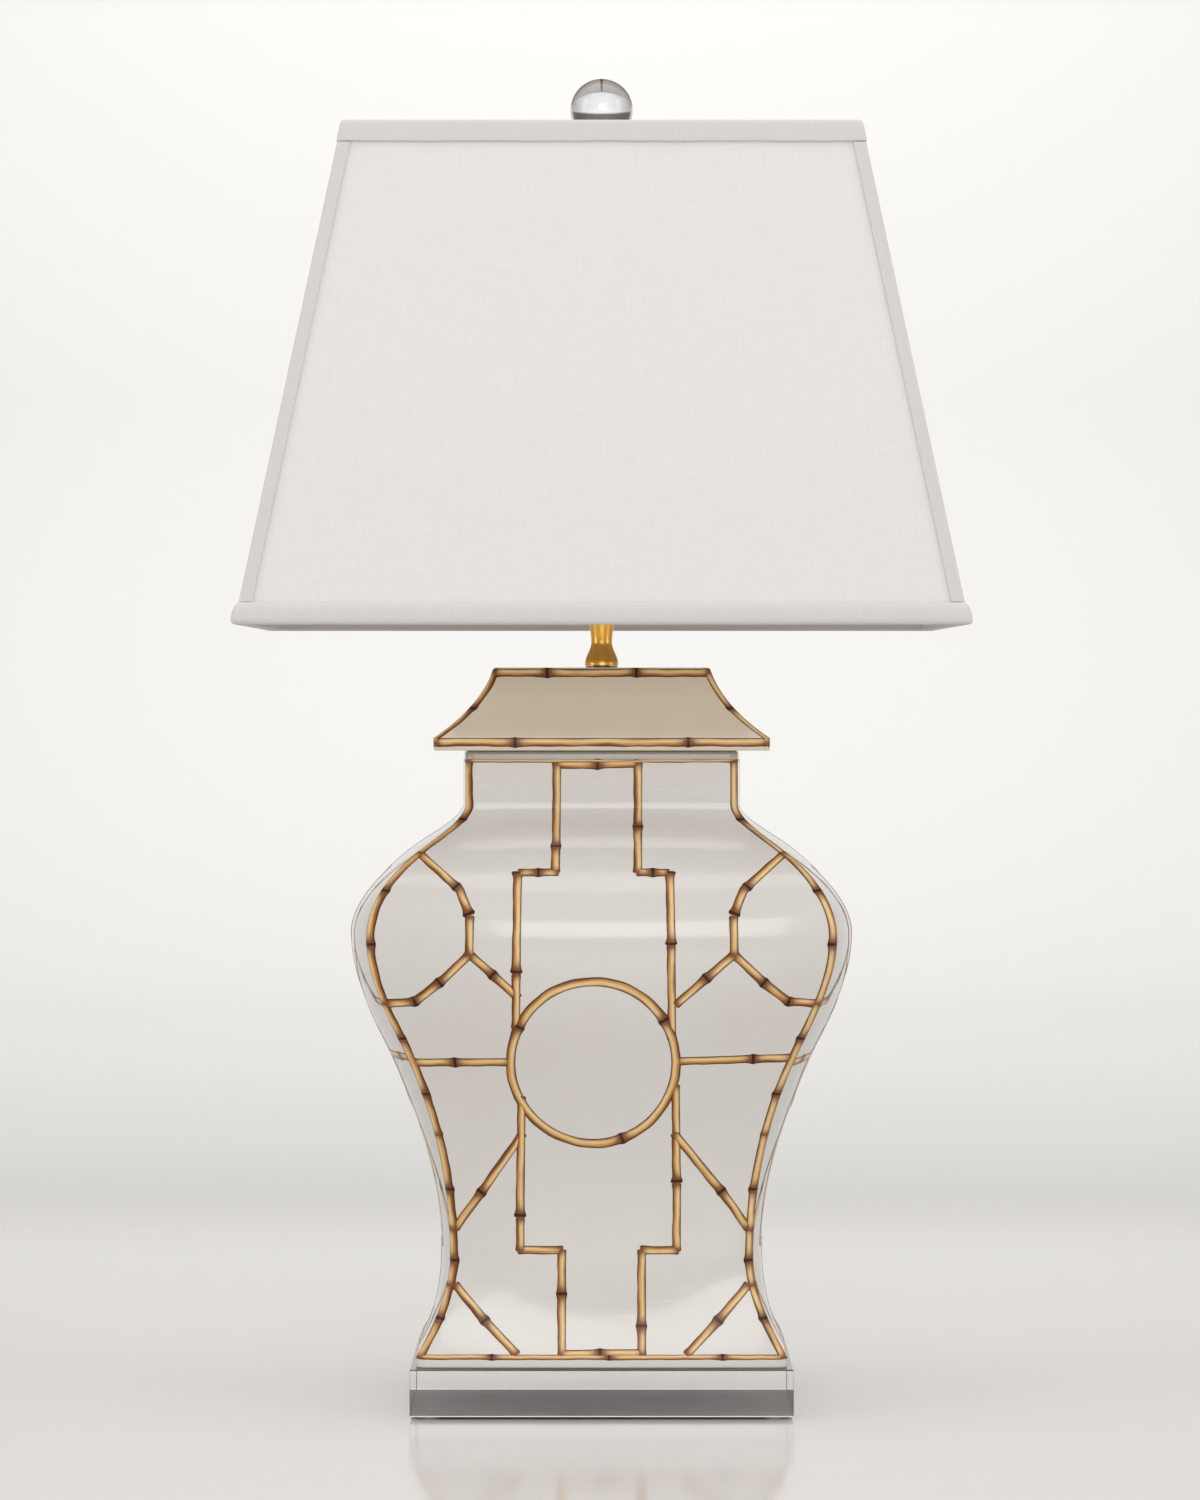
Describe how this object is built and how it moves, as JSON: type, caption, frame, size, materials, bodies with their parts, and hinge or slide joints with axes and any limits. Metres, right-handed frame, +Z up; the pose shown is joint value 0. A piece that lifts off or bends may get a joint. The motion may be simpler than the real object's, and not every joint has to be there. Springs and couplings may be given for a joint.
{
  "type": "table lamp",
  "caption": "Table lamp with a rectangular lidded ginger jar as its body, on a clear plinth, with a rectangular linen shade, harp, socket, bulb and crystal finial.",
  "frame": {"origin": "on the table, under the middle of the plinth", "axes": "+Z up, -Y towards the front face of the jar, +X to the viewer's right"},
  "size_m": [0.4316, 0.2796, 0.8132],
  "materials": {
    "porcelain": "glossy white glaze with painted bamboo trellis",
    "acrylic": "clear, polished",
    "crystal": "clear, polished",
    "bulb_glass": "frosted",
    "antique_brass": "satin antique",
    "dark_bronze": "darkened",
    "zinc_steel": "zinc plated",
    "white_wire": "white enamel",
    "linen": "plain-weave linen on a stiff backing",
    "linen_tape": "folded linen tape",
    "clear_rubber": "clear, soft",
    "white_rubber": "matt",
    "phenolic": "moulded, dark brown",
    "cardboard": "fibre"
  },
  "bodies": {
    "base": {"acrylic_plinth": "acrylic", "bumper_pad_1": "clear_rubber", "bumper_pad_2": "clear_rubber", "bumper_pad_3": "clear_rubber", "bumper_pad_4": "clear_rubber", "threaded_pipe": "zinc_steel", "base_washer": "zinc_steel", "lock_washer": "zinc_steel", "hex_nut": "zinc_steel", "jar_body": "porcelain", "jar_lid": "porcelain", "cord_grommet": "white_rubber", "check_ring": "dark_bronze", "brass_neck": "antique_brass", "harp_saddle": "antique_brass", "socket_cap": "antique_brass", "socket_shell": "antique_brass", "socket_liner": "cardboard", "socket_core": "phenolic", "screw_shell": "antique_brass", "centre_contact": "antique_brass"},
    "switch": {"switch_shaft": "antique_brass", "switch_knob": "phenolic"},
    "harp": {"harp_bow": "antique_brass", "harp_stud": "antique_brass"},
    "ferrule_left": {"ferrule_sleeve_left": "antique_brass"},
    "ferrule_right": {"ferrule_sleeve_right": "antique_brass"},
    "shade": {"linen_panel_front": "linen", "linen_panel_back": "linen", "linen_panel_left": "linen", "linen_panel_right": "linen", "top_tape": "linen_tape", "bottom_tape": "linen_tape", "corner_tape_front_left": "linen_tape", "corner_tape_front_right": "linen_tape", "corner_tape_back_left": "linen_tape", "corner_tape_back_right": "linen_tape", "top_ring": "white_wire", "bottom_ring": "white_wire", "spider_washer": "dark_bronze", "spider_arm_front": "dark_bronze", "spider_arm_back": "dark_bronze", "spider_arm_left": "dark_bronze", "spider_arm_right": "dark_bronze", "upright_front_left": "white_wire", "upright_front_right": "white_wire", "upright_back_left": "white_wire", "upright_back_right": "white_wire"},
    "finial": {"finial_base": "antique_brass", "crystal_ball": "crystal"},
    "bulb": {"bulb_cap": "zinc_steel", "bulb_glass": "bulb_glass"}
  },
  "joints": [
    {"name": "switch_turn", "type": "hinge", "parent": "base", "child": "switch", "pos_m": [0, 0, 0.519], "axis": [0, -1, 0], "continuous": true},
    {"name": "harp_lift", "type": "slide", "parent": "base", "child": "harp", "axis": [0, 0, 1], "range_m": [0, 0.3]},
    {"name": "ferrule_left_slide", "type": "slide", "parent": "harp", "child": "ferrule_left", "axis": [0, 0, 1], "range_m": [0, 0.012]},
    {"name": "ferrule_right_slide", "type": "slide", "parent": "harp", "child": "ferrule_right", "axis": [0, 0, 1], "range_m": [0, 0.012]},
    {"name": "shade_swivel", "type": "hinge", "parent": "harp", "child": "shade", "pos_m": [0, 0, 0.76], "axis": [0, 0, 1], "continuous": true},
    {"name": "finial_turn", "type": "hinge", "parent": "harp", "child": "finial", "pos_m": [0, 0, 0.7623], "axis": [0, 0, 1], "continuous": true},
    {"name": "bulb_turn", "type": "hinge", "parent": "base", "child": "bulb", "pos_m": [0, 0, 0.5296], "axis": [0, 0, 1], "continuous": true}
  ]
}
